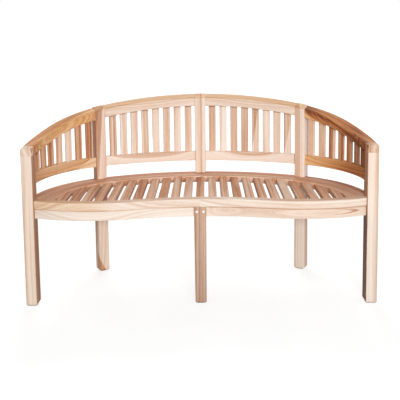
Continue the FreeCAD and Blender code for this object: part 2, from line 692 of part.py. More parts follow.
def seat_field(name, reach):
    """The seat inside its frame, run into the frame by the depth of the housing."""
    tall = "overall_height"
    bay = ring(name + "_bay", BAY_CENTRE, f"bay_radius + board_depth - ({reach})",
               "bay_radius + overall_depth * 2", "90 - swing", "2 * swing", "0", tall)
    lobe = sector(name + "_lobe", LOBE_CENTRE, f"lobe_radius - board_depth + {reach}",
                  "270 - swing", f"swing + {LOBE_SWEEP}", "0", tall)
    rear = sector(name + "_rear", BACK_CENTRE, f"back_radius - seat_rail_inside + {reach}",
                  "post_spin", "2 * back_turn", "0", tall)
    side_radius = f"arm_radius - seat_rail_inside + {reach}"
    side = sector(name + "_side", ARM_CENTRE, side_radius, "0", "360", "0", tall)
    front_part = boolean("Fuse", name + "_front", bay, lobe)
    rear_part = boolean("Fuse", name + "_back", rear, side)
    return boolean("Common", name, front_part, rear_part)


def seat_bar(place, name, mortise):
    gap = "fit_gap" if mortise else "0"
    x = f"seat_slat_pitch * {place} - seat_slat_width / 2 - {gap}"
    return box(f"{name}_{place}", f"seat_slat_width + 2 * {gap}", "overall_depth",
               f"seat_slat_thickness + 2 * {gap}", x, "-overall_depth / 2", f"seat_slat_base - {gap}")


slat_field = seat_field("slat_field", "housing")
mortise_field = seat_field("mortise_field", "housing + fit_gap")
right_slats = []
for place in range(SIDE_SLATS + 1):
    bar = seat_bar(place, "seat_bar", False)
    eased_bar = bevelled(f"seat_bar_eased_{place}", bar, "slat_bevel", is_long_above("seat_slat_middle"))
    right_slats.append(boolean("Common", f"seat_bar_cut_{place}", eased_bar, slat_field))
bars = [seat_bar(place, "seat_room", True) for place in range(SIDE_SLATS + 1)]
seat_mortises = boolean("Common", "seat_mortises", group("seat_rooms", bars), mortise_field)


# Seat frame: front board, apron, middle leg, rear seat rail

def wave_blank(name, front, depth, base, height):
    """The right half of a board that follows the seat's front curve, set back by front."""
    bay = ring(name + "_bay", BAY_CENTRE, f"bay_radius + {front}", f"bay_radius + {front} + {depth}",
               "90 - swing", "swing", base, height)
    lobe = ring(name + "_lobe", LOBE_CENTRE, f"lobe_radius - {front} - {depth}", f"lobe_radius - {front}",
                "270 - swing", f"swing + {LOBE_SWEEP}", base, height)
    return boolean("Fuse", name, bay, lobe)


def board_tongue(name, x, y, slot):
    """An upright loose tongue between the apron and the front board, or its slot."""
    gap = "fit_gap" if slot else "0"
    length = f"tongue_length + 2 * {gap}"
    thickness = f"tongue_thickness + 2 * {gap}"
    return box(name, length, thickness, f"tongue_width + 2 * {gap}", f"{x} - tongue_length / 2 - {gap}",
               f"{y} - tongue_thickness / 2 - {gap}", f"board_base - tongue_width / 2 - {gap}")


def board_tongues(name, slot):
    """The tongues of the right half: one in the bay of the front curve, one in the swell."""
    inset = "apron_setback + apron_thickness / 2"
    bay_y = f"bay_centre_y + sqrt((bay_radius + {inset}) ^ 2 - tongue_place ^ 2)"
    inner = board_tongue(name + "_inner", "tongue_place", bay_y, slot)
    outer = board_tongue(name + "_outer", "lobe_place", f"front_line - lobe_reach + {inset}", slot)
    return inner, outer


def leg_screw(name, side):
    """A screw with a low cylinder head that runs to the back, made by turning its half section."""
    body = doc.addObject("PartDesign::Body", name)
    half = new_sketch(body, name + "_half", "XY_Plane")
    head = "screw_head_diameter / 2"
    shank = "screw_shank_diameter / 2"
    face = "-screw_head_height"
    outline(half, [("0", face), (head, face), (head, "0"), (shank, "0"),
                   (shank, "screw_length"), ("0", "screw_length")])
    turned = body.newObject("PartDesign::Revolution", name + "_turned")
    turned.Profile = half
    turned.ReferenceAxis = (half, ["V_Axis"])
    turned.Angle = 360
    return bind(body, x=f"{side} * screw_spacing / 2", y="leg_front", z="apron_middle")


def screw_hole(name, side):
    gap = "fit_gap"
    hole = doc.addObject("Part::Cylinder", name)
    hole.Placement = FreeCAD.Placement(FreeCAD.Vector(), FreeCAD.Rotation(FreeCAD.Vector(1, 0, 0), -90))
    bind(hole, Radius=f"screw_shank_diameter / 2 + {gap}", Height=f"screw_length + {OVERRUN} + {gap}")
    return bind(hole, x=f"{side} * screw_spacing / 2", y=f"leg_front - {OVERRUN}", z="apron_middle")


post_side = box("post_side", f"{SPREAD}", f"2 * {SPREAD}", "overall_height",
                "front_post_inside - fit_gap", f"front_line - {SPREAD}", "0")
leg_side = box("leg_side", f"{SPREAD}", f"2 * {SPREAD}", "overall_height",
               f"leg_head_width / 2 + fit_gap - {SPREAD}", f"front_line - {SPREAD}", "0")
board_tenon, apron_tenon = seat_front_joints("front_tenon", False)
tongue_slots = board_tongues("tongue_slot", True)

board_blank = wave_blank("board_blank", "0", "board_depth", "board_base", "board_thickness")
board_eased = bevelled("board_eased", board_blank, "edge_bevel", is_long_above("board_middle"))
board_shaped = boolean("Cut", "board_shaped", board_eased, post_side)
piece("front_board_right", joined("board", board_shaped, [board_tenon], [seat_mortises, *tongue_slots]))

apron_blank = wave_blank("apron_blank", "apron_setback", "apron_thickness", "apron_base", "apron_height")
apron_shaped = carved("apron_shaped", apron_blank, [post_side, leg_side])
apron_tenons = [apron_tenon, leg_joint("apron_leg_tenon", False)]
apron_cuts = [*tongue_slots, screw_hole("apron_screw_hole", 1)]
piece("front_apron_right", joined("apron", apron_shaped, apron_tenons, apron_cuts))

leg_body = doc.addObject("PartDesign::Body", "leg_body")
leg_face = new_sketch(leg_body, "leg_face", "XZ_Plane")
outline(leg_face, [("-leg_foot_width / 2", "0"), ("leg_foot_width / 2", "0"),
                   ("leg_head_width / 2", "board_base"), ("-leg_head_width / 2", "board_base")])
pad(leg_body, "leg_pad", leg_face, "leg_depth").SideType = "Symmetric"
bevel_foot(leg_body)
dress(leg_body, "Chamfer", "leg_corners", "edge_bevel", is_long)
bind(leg_body, y="leg_front + leg_depth / 2")
right_leg_joint = leg_joint("leg_mortise_right", True)
left_leg_joint = mirror("leg_mortise_left", right_leg_joint)
leg_holes = [screw_hole("leg_hole_right", 1), screw_hole("leg_hole_left", -1)]
leg_cuts = [right_leg_joint, left_leg_joint, *leg_holes]
piece("front_leg_middle", carved("leg", leg_body, leg_cuts))
screws = group("screws", [leg_screw("screw_right", 1), leg_screw("screw_left", -1)])


def tongue(name, centre, spin, slot):
    """A loose tongue across the joint of two rear seat rails, in front of a post, or its slot."""
    gap = "fit_gap" if slot else "0"
    middle = "(seat_rail_inside + back_post_side / 2) / 2"
    x = f"-{middle} - tongue_width / 2 - {gap}"
    y = f"-tongue_length / 2 - {gap}"
    z = f"seat_rail_base + seat_rail_thickness / 2 - tongue_thickness / 2 - {gap}"
    width = f"tongue_width + 2 * {gap}"
    length = f"tongue_length + 2 * {gap}"
    return box(name, width, length, f"tongue_thickness + 2 * {gap}", x, y, z, spin, centre)


front_zone_ring = ring("front_zone_ring", LOBE_CENTRE, "lobe_radius - board_depth - fit_gap",
                       f"lobe_radius + {SPREAD}", "270 - swing", f"swing + {LOBE_SWEEP}", "0",
                       "overall_height")
beside_post = box("beside_post", f"{SPREAD}", f"2 * {SPREAD}", f"overall_height + {SPREAD}",
                  "front_post_inside", f"front_line - {SPREAD}", f"-{OVERRUN}")
front_zone = boolean("Cut", "front_zone", front_zone_ring, beside_post)
front_core = box("front_core", f"{SPREAD}", f"{SPREAD} + front_post_depth - trench + fit_gap",
                 "overall_height", "front_post_inside - fit_gap", f"front_line - {SPREAD}", "0")

rear_ring = ring("rear_ring", BACK_CENTRE, "back_radius - seat_rail_inside",
                 "back_radius + seat_rail_outside", "post_spin", "back_turn",
                 "seat_rail_base", "seat_rail_thickness")
rear_eased = bevelled("rear_eased", rear_ring, "edge_bevel", is_long_above("seat_rail_middle"))
back_slot = tongue("back_slot", BACK_POST, "post_spin", True)
middle_slot = tongue("middle_slot", MIDDLE_POST, "90", True)
rear_cuts = [back_core, middle_core, seat_mortises, back_slot, middle_slot]
piece("seat_rail_right", carved("rear_rail", rear_eased, rear_cuts))

flank_ring = ring("flank_ring", ARM_CENTRE, "arm_radius - seat_rail_inside",
                  "arm_radius + seat_rail_outside", "0", "post_spin",
                  "seat_rail_base", "seat_rail_thickness")
flank_run = box("flank_run", "seat_rail_inside + seat_rail_outside", "arm_straight", "seat_rail_thickness",
                "half_span - seat_rail_inside", "front_line", "seat_rail_base")
flank_whole = boolean("Fuse", "flank_whole", flank_ring, flank_run)
flank_eased = bevelled("flank_eased", flank_whole, "edge_bevel", is_long_above("seat_rail_middle"))
flank_cuts = [back_core, front_zone, front_core, seat_mortises, back_slot]
piece("seat_rail_arm_right", carved("flank_rail", flank_eased, flank_cuts))


# Left-hand pieces, and the pieces that straddle the middle

for right_piece in list(pieces):
    if right_piece.Label.endswith("_right"):
        left_label = right_piece.Label.replace("_right", "_left")
        piece(left_label, mirror(left_label + "_mirror", right_piece))
middle_place = SIDE_SLATS + 1
for place, slat in enumerate(right_slats):
    piece(f"seat_slat_{middle_place + place:02d}", slat)
    if place:
        left_label = f"seat_slat_{middle_place - place:02d}"
        piece(left_label, mirror(left_label + "_mirror", slat))
piece("leg_screws", screws)
right_board_tongues = group("right_board_tongues", list(board_tongues("board_tongue", False)))
left_board_tongues = mirror("left_board_tongues", right_board_tongues)
piece("board_tongues", group("all_board_tongues", [right_board_tongues, left_board_tongues]))
right_tongue = tongue("right_tongue", BACK_POST, "post_spin", False)
middle_tongue = tongue("middle_tongue", MIDDLE_POST, "90", False)
tongues = [right_tongue, mirror("left_tongue", right_tongue), middle_tongue]
piece("seat_rail_tongues", group("all_tongues", tongues))

# Every object must be sound before the files are written
doc.recompute()
for thing in doc.Objects:
    if {"Invalid", "Error"} & set(thing.State):
        raise RuntimeError(f"{thing.Name} is not sound: {thing.State}")
for thing in pieces:
    if thing.Shape.isNull() or not thing.Shape.isValid() or not thing.Shape.Solids:
        raise RuntimeError(f"{thing.Label} has no sound solid")

os.makedirs("parts", exist_ok=True)
for thing in pieces:
    thing.Shape.exportStep(f"parts/{thing.Label}.step")
print(len(pieces), "pieces written")
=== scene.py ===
import bpy
import math
from mathutils import Matrix, Vector

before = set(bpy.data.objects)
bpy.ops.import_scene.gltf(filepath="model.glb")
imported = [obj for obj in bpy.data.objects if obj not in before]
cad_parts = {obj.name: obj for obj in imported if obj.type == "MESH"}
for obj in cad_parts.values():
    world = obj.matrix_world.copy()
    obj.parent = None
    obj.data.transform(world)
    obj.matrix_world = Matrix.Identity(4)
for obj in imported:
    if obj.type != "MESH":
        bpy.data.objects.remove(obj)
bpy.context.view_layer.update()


# Plan of the bench as the solids have it, in metres: slats are placed along the rings of back and arms
SIDES = {"left": -1.0, "right": 1.0}
BACK_CENTRE = (0.0, -0.67686, 0.0)
BACK_RADIUS = 0.98036
BACK_END = math.radians(29.8)
BACK_FIRST = 0.060
BACK_PITCH = 0.05413
ARM_CENTRE_X = 0.25105
ARM_CENTRE_Y = -0.2385
ARM_RADIUS = 0.4752
ARM_FIRST = BACK_END * ARM_RADIUS + 0.054
ARM_PITCH = 0.05776
SEAT_PITCH = 0.054295
SEAT_SLATS = 23

# Directions, and turns of a frame whose own Z runs along the fibres
LEFT = (-1.0, 0.0, 0.0)
RIGHT = (1.0, 0.0, 0.0)
FRONT = (0.0, -1.0, 0.0)
UP = (0.0, 0.0, 1.0)
DOWN = (0.0, 0.0, -1.0)
UPRIGHT = (0.0, 0.0, 0.0)
ACROSS = (0.0, math.radians(90), 0.0)
FORWARD = (math.radians(-90), 0.0, 0.0)
BACK_CHORD = math.radians(15)
BACK_RISE = math.radians(4)
ARM_CHORD = math.radians(61.5)
ARM_RISE = math.radians(16)


def at_x(x):
    return (x, 0.0, 0.0)


def at_y(y):
    return (0.0, y, 0.0)


def at_z(z):
    return (0.0, 0.0, z)


def arm_centre(way):
    """Centre of the ring of one arm; way is -1 on the left and 1 on the right."""
    return (way * ARM_CENTRE_X, ARM_CENTRE_Y, 0.0)


def linear(red, green, blue):
    """A colour as it is named on a screen, 0 to 255, in the light values that shaders take."""
    def channel(value):
        part = value / 255
        return part / 12.92 if part <= 0.04045 else ((part + 0.055) / 1.055) ** 2.4
    return (channel(red), channel(green), channel(blue), 1.0)


# Teak from pale sapwood to the dark heart, of trees with a different tone
PLAIN_TEAK = (linear(245, 233, 221), linear(234, 211, 192), linear(212, 174, 147),
              linear(181, 132, 102), linear(134, 91, 66))
GOLDEN_TEAK = (linear(245, 226, 202), linear(230, 193, 155), linear(210, 160, 115),
               linear(179, 122, 81), linear(134, 86, 56))
AMBER_TEAK = (linear(242, 214, 178), linear(228, 182, 132), linear(207, 148, 96),
              linear(176, 108, 66), linear(126, 73, 46))
RED_TEAK = (linear(242, 220, 202), linear(228, 188, 160), linear(205, 147, 110),
            linear(170, 105, 71), linear(118, 68, 47))
BROWN_TEAK = (linear(245, 233, 221), linear(234, 209, 188), linear(212, 166, 131),
              linear(182, 122, 86), linear(128, 78, 52))
GREY_TEAK = (linear(240, 232, 224), linear(222, 208, 196), linear(198, 176, 160),
             linear(165, 140, 124), linear(120, 100, 88))
SHADE_STEPS = (0.0, 0.28, 0.55, 0.8, 1.0)
WHITE = (1.0, 1.0, 1.0, 1.0)


class Tree:
    """The node tree of a material or a world, with a short call for each kind of node."""

    def __init__(self, owner):
        self.owner = owner
        owner.use_nodes = True
        self.nodes = owner.node_tree.nodes
        self.links = owner.node_tree.links
        self.nodes.clear()

    def feed(self, socket, value):
        if isinstance(value, bpy.types.NodeSocket):
            self.links.new(value, socket)
        else:
            socket.default_value = value

    def math(self, operation, *values):
        node = self.nodes.new("ShaderNodeMath")
        node.operation = operation
        for socket, value in zip(node.inputs, values):
            self.feed(socket, value)
        return node.outputs[0]

    def vector(self, operation, *values):
        node = self.nodes.new("ShaderNodeVectorMath")
        node.operation = operation
        for socket, value in zip(node.inputs, values):
            self.feed(socket, value)
        is_number = operation in ("LENGTH", "DOT_PRODUCT")
        return node.outputs["Value" if is_number else "Vector"]

    def split(self, vector):
        node = self.nodes.new("ShaderNodeSeparateXYZ")
        self.feed(node.inputs[0], vector)
        return node.outputs

    def join(self, x, y, z):
        node = self.nodes.new("ShaderNodeCombineXYZ")
        for socket, value in zip(node.inputs, (x, y, z)):
            self.feed(socket, value)
        return node.outputs[0]

    def noise(self, vector, detail, roughness=0.5, output=0):
        node = self.nodes.new("ShaderNodeTexNoise")
        node.inputs["Scale"].default_value = 1.0
        node.inputs["Detail"].default_value = detail
        node.inputs["Roughness"].default_value = roughness
        self.feed(node.inputs["Vector"], vector)
        return node.outputs[output]

    def line_noise(self, distance, detail, roughness):
        node = self.nodes.new("ShaderNodeTexNoise")
        node.noise_dimensions = "1D"
        node.inputs["Scale"].default_value = 1.0
        node.inputs["Detail"].default_value = detail
        node.inputs["Roughness"].default_value = roughness
        self.feed(node.inputs["W"], distance)
        return node.outputs[0]

    def chance(self, number):
        """Three chance values, 0 to 1, that belong to a number."""
        node = self.nodes.new("ShaderNodeTexWhiteNoise")
        node.noise_dimensions = "1D"
        self.feed(node.inputs["W"], number)
        return node.outputs["Color"]

    def steps(self, value, colours, places, interpolation="LINEAR"):
        node = self.nodes.new("ShaderNodeValToRGB")
        ramp = node.color_ramp
        ramp.interpolation = interpolation
        while len(ramp.elements) < len(colours):
            ramp.elements.new(0.5)
        for element, place, colour in zip(ramp.elements, places, colours):
            element.position = place
            element.color = colour
        self.feed(node.inputs[0], value)
        return node.outputs[0]

    def mix(self, share, first, second):
        node = self.nodes.new("ShaderNodeMix")
        node.data_type = "RGBA"
        for place, value in ((0, share), (6, first), (7, second)):
            self.feed(node.inputs[place], value)
        return node.outputs[2]

    def spread(self, value, low, high, to_low, to_high, smooth=False):
        """The value, taken from the range low to high into the range to_low to to_high."""
        node = self.nodes.new("ShaderNodeMapRange")
        node.interpolation_type = "SMOOTHSTEP" if smooth else "LINEAR"
        for socket, number in zip(node.inputs, (value, low, high, to_low, to_high)):
            self.feed(socket, number)
        return node.outputs[0]

    def place(self):
        return self.nodes.new("ShaderNodeTexCoord").outputs["Object"]

    def seen_from(self, place, origin, turn):
        """The place as measured in a frame at origin, turned by turn."""
        node = self.nodes.new("ShaderNodeMapping")
        node.vector_type = "TEXTURE"
        node.inputs["Location"].default_value = origin
        node.inputs["Rotation"].default_value = turn
        self.feed(node.inputs["Vector"], place)
        return node.outputs[0]

    def flat_normal(self):
        return self.nodes.new("ShaderNodeNewGeometry").outputs["True Normal"]

    def eased_normal(self, radius):
        """The normal with its edges rounded by a small radius."""
        node = self.nodes.new("ShaderNodeBevel")
        node.samples = 4
        node.inputs["Radius"].default_value = radius
        return node.outputs[0]

    def bump(self, height, strength, distance, normal):
        node = self.nodes.new("ShaderNodeBump")
        node.inputs["Strength"].default_value = strength
        node.inputs["Distance"].default_value = distance
        self.feed(node.inputs["Height"], height)
        self.feed(node.inputs["Normal"], normal)
        return node.outputs[0]

    def shown(self):
        """1 for what the eye sees, straight or by gloss or glass, and 0 for light on other surfaces."""
        rays = self.nodes.new("ShaderNodeLightPath").outputs
        straight = self.math("MAXIMUM", rays["Is Camera Ray"], rays["Is Glossy Ray"])
        return self.math("MAXIMUM", straight, rays["Is Transmission Ray"])

    def shader(self):
        node = self.nodes.new("ShaderNodeBsdfPrincipled")
        output = self.nodes.new("ShaderNodeOutputMaterial")
        self.links.new(node.outputs[0], output.inputs["Surface"])
        return node


# Logs: where a timber was cut from, which gives its grain
ROUND = (1.0, 1.0, 0.0)


class Log:
    """A straight trunk: a point on its pith, and the turn that lays Z along the fibres."""

    def __init__(self, pith, turn):
        self.pith = pith
        self.turn = turn

    def place(self, tree):
        return tree.seen_from(tree.place(), self.pith, self.turn)


class BentLog:
    """A trunk with a sweep: its fibres follow an arc about an upright axis, and rise towards the back."""

    def __init__(self, axis, radius, level, rise=0.0, behind=1.0):
        self.axis = axis
        self.radius = radius
        self.level = level
        self.rise = rise
        self.behind = behind

    def place(self, tree):
        x, y, z = tree.split(tree.vector("SUBTRACT", tree.place(), (*self.axis, self.level)))
        reach = tree.vector("LENGTH", tree.join(x, y, 0.0))
        across = tree.math("SUBTRACT", reach, self.radius)
        up = tree.math("MULTIPLY_ADD", y, -self.rise, z)
        angle = tree.math("ARCTAN2", x, tree.math("MULTIPLY", y, self.behind))
        along = tree.math("MULTIPLY", angle, self.radius)
        return tree.join(across, up, along)


def pith_distance(tree, local):
    return tree.vector("LENGTH", tree.vector("MULTIPLY", local, ROUND))


def height_over(tree, spot, point, normal):
    """How far a spot lies beyond the plane through a point."""
    way = Vector(normal).normalized()
    return tree.math("SUBTRACT", tree.vector("DOT_PRODUCT", spot, way), way.dot(Vector(point)))


def axis_distance(tree, spot, centre, axis):
    """How far a spot lies from an axis through centre."""
    offset = tree.vector("SUBTRACT", spot, centre)
    return tree.vector("LENGTH", tree.vector("CROSS_PRODUCT", offset, Vector(axis).normalized()))


# Marks: darker or, with a depth below 0, paler wood; as a share from 0 to 1 they also place a tint
def beyond(point, normal, blur, depth):
    """The wood beyond a plane; the change takes blur on each side of it."""
    def mark(tree, spot, local):
        return tree.spread(height_over(tree, spot, point, normal), -blur, blur, 0.0, depth, True)
    return mark


def vein(point, normal, half_width, depth):
    """A sheet in the wood, seen as a line."""
    def mark(tree, spot, local):
        distance = tree.math("ABSOLUTE", height_over(tree, spot, point, normal))
        return tree.spread(distance, 0.0, half_width, depth, 0.0, True)
    return mark


def heart(radius, blur, depth):
    """The wood near the pith."""
    def mark(tree, spot, local):
        return tree.spread(pith_distance(tree, local), radius + blur, radius - blur, 0.0, depth, True)
    return mark


def year(radius, half_width, depth):
    """One strong growth ring."""
    def mark(tree, spot, local):
        distance = tree.math("ABSOLUTE", tree.math("SUBTRACT", pith_distance(tree, local), radius))
        return tree.spread(distance, 0.0, half_width, depth, 0.0, True)
    return mark


def outside(centre, axis, radius, blur, depth):
    """The wood further than a radius from an axis through centre."""
    def mark(tree, spot, local):
        distance = axis_distance(tree, spot, centre, axis)
        return tree.spread(distance, radius - blur, radius + blur, 0.0, depth, True)
    return mark


def arc(centre, axis, radius, half_width, depth):
    """A line at a radius from an axis through centre."""
    def mark(tree, spot, local):
        distance = tree.math("SUBTRACT", axis_distance(tree, spot, centre, axis), radius)
        return tree.spread(tree.math("ABSOLUTE", distance), 0.0, half_width, depth, 0.0, True)
    return mark


def both(first, second):
    """The first mark, only as far as the second one reaches."""
    def mark(tree, spot, local):
        return tree.math("MULTIPLY", first(tree, spot, local), second(tree, spot, local))
    return mark


def either(first, second):
    """The stronger of two marks."""
    def mark(tree, spot, local):
        return tree.math("MAXIMUM", first(tree, spot, local), second(tree, spot, local))
    return mark


# Grain of teak: how far its rings wander, in metres, and its patterns per metre across and along the fibres
WANDER = 0.010
MARK_WANDER = 0.004
WANDER_RATE = (7.0, 7.0, 1.4)
CLOUD_RATE = (14.0, 14.0, 2.2)
BAND_RATE = 75.0
LINE_RATE = 420.0
FIBRE_RATE = (850.0, 850.0, 11.0)
FLECK_RATE = (260.0, 260.0, 34.0)
HALF = (0.5, 0.5, 0.5)

# How much each pattern changes the shade
BAND_DEPTH = 0.8
CLOUD_DEPTH = 0.3
LINE_DEPTH = 0.35
FIBRE_DEPTH = 0.25
FLECK_DEPTH = 0.12

# Edges are eased, and paler where the rounded normal leaves the flat one: wear, and a painted highlight
EDGE_RADIUS = 0.0022
EDGE_WEAR_AND_HIGHLIGHT = 0.09
WEAR_AND_HIGHLIGHT_NONE = 0.99
WEAR_AND_HIGHLIGHT_FULL = 0.8

# Surface of sanded teak: pores along lines and fibres, and hardly any shine
LINE_PORES = 0.5
PORE_STRENGTH = 0.22
PORE_HEIGHT = 0.0007
FEW_PORES = 0.4
MANY_PORES = 1.1
SMOOTHEST = 0.52
ROUGHEST = 0.72
SHINE = 0.12

# Slats are cut from logs of their own, spread about the origin, and show more of the grain
ORIGIN = (0.0, 0.0, 0.0)
LOG_SPREAD = (0.9, 0.9, 3.0)
SLAT_CONTRAST = 1.5


def wander(tree, local, reach):
    """The slow wander of the rings, which changes little along the fibres."""
    slow = tree.vector("MULTIPLY", local, WANDER_RATE)
    drift = tree.noise(slow, detail=2.5, roughness=0.55, output="Color")
    drift = tree.vector("SUBTRACT", drift, HALF)
    return tree.vector("MULTIPLY", drift, (2 * reach, 2 * reach, 0.0))


def grow(tree, local, shade, palette, contrast, tints=()):
    """Teak whose fibres run along local Z and whose rings lie round that axis, about a shade."""
    radius = pith_distance(tree, tree.vector("ADD", local, wander(tree, local, WANDER)))
    bands = tree.line_noise(tree.math("MULTIPLY", radius, BAND_RATE), detail=3.0, roughness=0.6)
    lines = tree.line_noise(tree.math("MULTIPLY", radius, LINE_RATE), detail=2.0, roughness=0.6)
    clouds = tree.noise(tree.vector("MULTIPLY", local, CLOUD_RATE), detail=1.0)
    fibres = tree.noise(tree.vector("MULTIPLY", local, FIBRE_RATE), detail=2.0, roughness=0.6)
    flecks = tree.noise(tree.vector("MULTIPLY", local, FLECK_RATE), detail=1.0)
    patterns = ((bands, BAND_DEPTH), (clouds, CLOUD_DEPTH), (lines, LINE_DEPTH),
                (fibres, FIBRE_DEPTH), (flecks, FLECK_DEPTH))
    for pattern, depth in patterns:
        swing = tree.math("SUBTRACT", pattern, 0.5)
        shade = tree.math("MULTIPLY_ADD", swing, depth * contrast, shade)

    normal = tree.eased_normal(EDGE_RADIUS)
    flatness = tree.vector("DOT_PRODUCT", normal, tree.flat_normal())
    # Paler eased edges: wear and a painted highlight
    wear_and_highlight = tree.spread(flatness, WEAR_AND_HIGHLIGHT_NONE, WEAR_AND_HIGHLIGHT_FULL, 0.0, EDGE_WEAR_AND_HIGHLIGHT)
    shade = tree.math("SUBTRACT", shade, wear_and_highlight)

    colour = tree.steps(shade, palette, SHADE_STEPS)
    for other, share in tints:
        colour = tree.mix(share, colour, tree.steps(shade, other, SHADE_STEPS))
    pores = tree.math("MULTIPLY_ADD", lines, LINE_PORES, fibres)
    roughness = tree.spread(pores, FEW_PORES, MANY_PORES, SMOOTHEST, ROUGHEST)
    shader = tree.shader()
    tree.feed(shader.inputs["Base Color"], colour)
    tree.feed(shader.inputs["Normal"], tree.bump(pores, PORE_STRENGTH, PORE_HEIGHT, normal))
    tree.feed(shader.inputs["Roughness"], roughness)
    shader.inputs["Specular IOR Level"].default_value = SHINE
    return tree.owner


def teak(name, log, shade, palette=PLAIN_TEAK, contrast=1.0, marks=(), tints=()):
    """One timber of a log, about a shade from 0, pale, to 1, dark, with marks, and tints on parts of it."""
    tree = Tree(bpy.data.materials.new("teak_" + name))
    local = log.place(tree)
    spot = tree.vector("ADD", tree.place(), wander(tree, local, MARK_WANDER))
    for mark in marks:
        shade = tree.math("ADD", mark(tree, spot, local), shade)
    shares = [(other, where(tree, spot, local)) for other, where in tints]
    return grow(tree, local, shade, palette, contrast, shares)


def slat_teak(name, index_of, shades, palette, turn, marks=(), own_marks=()):
    """Slats in one finish, each with a shade and a log of its own; an own mark is on one numbered slat."""
    tree = Tree(bpy.data.materials.new("teak_" + name))
    place = tree.place()
    local = Log(ORIGIN, turn).place(tree)
    index = index_of(tree, place)
    count = len(shades)
    step = tree.math("DIVIDE", tree.math("ADD", index, 0.5), count)
    greys = [(shade, shade, shade, 1.0) for shade in shades]
    shade = tree.steps(step, greys, [number / count for number in range(count)], "CONSTANT")
    for mark in marks:
        shade = tree.math("ADD", mark(tree, place, local), shade)
    for number, mark in own_marks:
        is_slat = tree.math("COMPARE", index, float(number), 0.5)
        shade = tree.math("MULTIPLY_ADD", is_slat, mark(tree, place, local), shade)
    luck = tree.vector("SUBTRACT", tree.chance(index), HALF)
    local = tree.vector("ADD", local, tree.vector("MULTIPLY", luck, LOG_SPREAD))
    return grow(tree, local, shade, palette, SLAT_CONTRAST)


def ring_index(centre, radius, first, pitch):
    """The number of a slat that stands on a ring, counted from the middle of the back."""
    def index_of(tree, place):
        x, y, z = tree.split(tree.vector("SUBTRACT", place, centre))
        angle = tree.math("ARCTAN2", tree.math("ABSOLUTE", x), y)
        past_start = tree.math("SUBTRACT", angle, (first - pitch / 2) / radius)
        return tree.math("FLOOR", tree.math("DIVIDE", past_start, pitch / radius))
    return index_of


def row_index(tree, place):
    """The number of a seat slat, counted from the left."""
    x, y, z = tree.split(place)
    return tree.math("FLOOR", tree.math("MULTIPLY_ADD", x, 1 / SEAT_PITCH, SEAT_SLATS / 2))


def dress(node, material):
    """Gives a solid its finish in place of the plain one."""
    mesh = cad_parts[node].data
    mesh.materials.clear()
    mesh.materials.append(material)


# Marks that several pieces share: the legs below the seat, and the sloping upper faces of the back, darker
# and golden as painted shade, and on the post tops also as end grain
SHARP = 0.001
LEG_TOP = 0.40
LEG_BLUR = 0.04
TOP_SLOPE = math.radians(18.33)
TOP_NORMAL = (0.0, -math.sin(TOP_SLOPE), math.cos(TOP_SLOPE))
TOP_REAR = (0.0, 0.3285, 0.8495)


def on_leg(depth):
    return beyond(at_z(LEG_TOP), DOWN, LEG_BLUR, depth)


def on_top(depth):
    return beyond(TOP_REAR, TOP_NORMAL, SHARP, depth)


# Painted shade on the upper faces of the rails, and end grain on the post tops
dark_top_shade_and_end_grain = on_top(0.16)
golden_top_shade_and_end_grain = (GOLDEN_TEAK, on_top(1.0))

# Front posts: painted shade on their inner sides, and more of it below the seat on the right post
POST_INSIDE = 0.7045
POST_MIDDLE = 0.722
POST_EDGE = 0.740
POST_CONTRAST = 0.8

dress("front_post_left", teak(
    "front_post_left", Log((-0.79, -0.20, 0.0), UPRIGHT), shade=0.23, contrast=POST_CONTRAST,
    marks=(
        # Painted shade on the inner side
        beyond(at_x(-POST_INSIDE), RIGHT, SHARP, depth=0.54),
        beyond(at_x(-POST_EDGE), LEFT, blur=0.004, depth=0.1),
        vein(at_x(-POST_MIDDLE), RIGHT, half_width=0.006, depth=0.1),
    )))
dress("front_post_right", teak(
    "front_post_right", Log((0.80, -0.21, 0.3), UPRIGHT), shade=0.2, contrast=POST_CONTRAST,
    marks=(
        # Painted shade on the inner side, and more of it below the seat
        beyond(at_x(POST_INSIDE), LEFT, SHARP, depth=0.6),
        both(beyond(at_x(POST_INSIDE), LEFT, SHARP, depth=0.2), on_leg(1.0)),
        beyond(at_x(POST_EDGE), RIGHT, blur=0.005, depth=0.32),
    ),
    tints=((GREY_TEAK, on_leg(0.4)),)))

# Back posts, turned to the curve of the back, and the post in its middle; each has painted shade on its
# left part
POST_SIDE = (math.cos(BACK_END), -math.sin(BACK_END), 0.0)
POST_REAR = (math.sin(BACK_END), math.cos(BACK_END), 0.0)
GRAIN_LEAN = math.radians(3)

# Painted shade: the left part of the post darker, where its face turns from the light
shaded_left_half = beyond((-0.474, 0.0, 0.66), (-1.0, 0.0, 0.07), blur=0.003, depth=0.4)
foot_streak = both(
    beyond((-0.480, 0.0, 0.028), (-0.92, 0.0, -0.4), blur=0.004, depth=0.5),
    beyond(at_y(0.164), FRONT, blur=0.008, depth=1.0))
dress("back_post_left", teak(
    "back_post_left", Log((-0.54, 0.19, 0.6), (0.0, GRAIN_LEAN, 0.0)), shade=0.28,
    marks=(either(shaded_left_half, foot_streak), on_leg(-0.26)),
    tints=(golden_top_shade_and_end_grain, (RED_TEAK, on_leg(1.0)))))

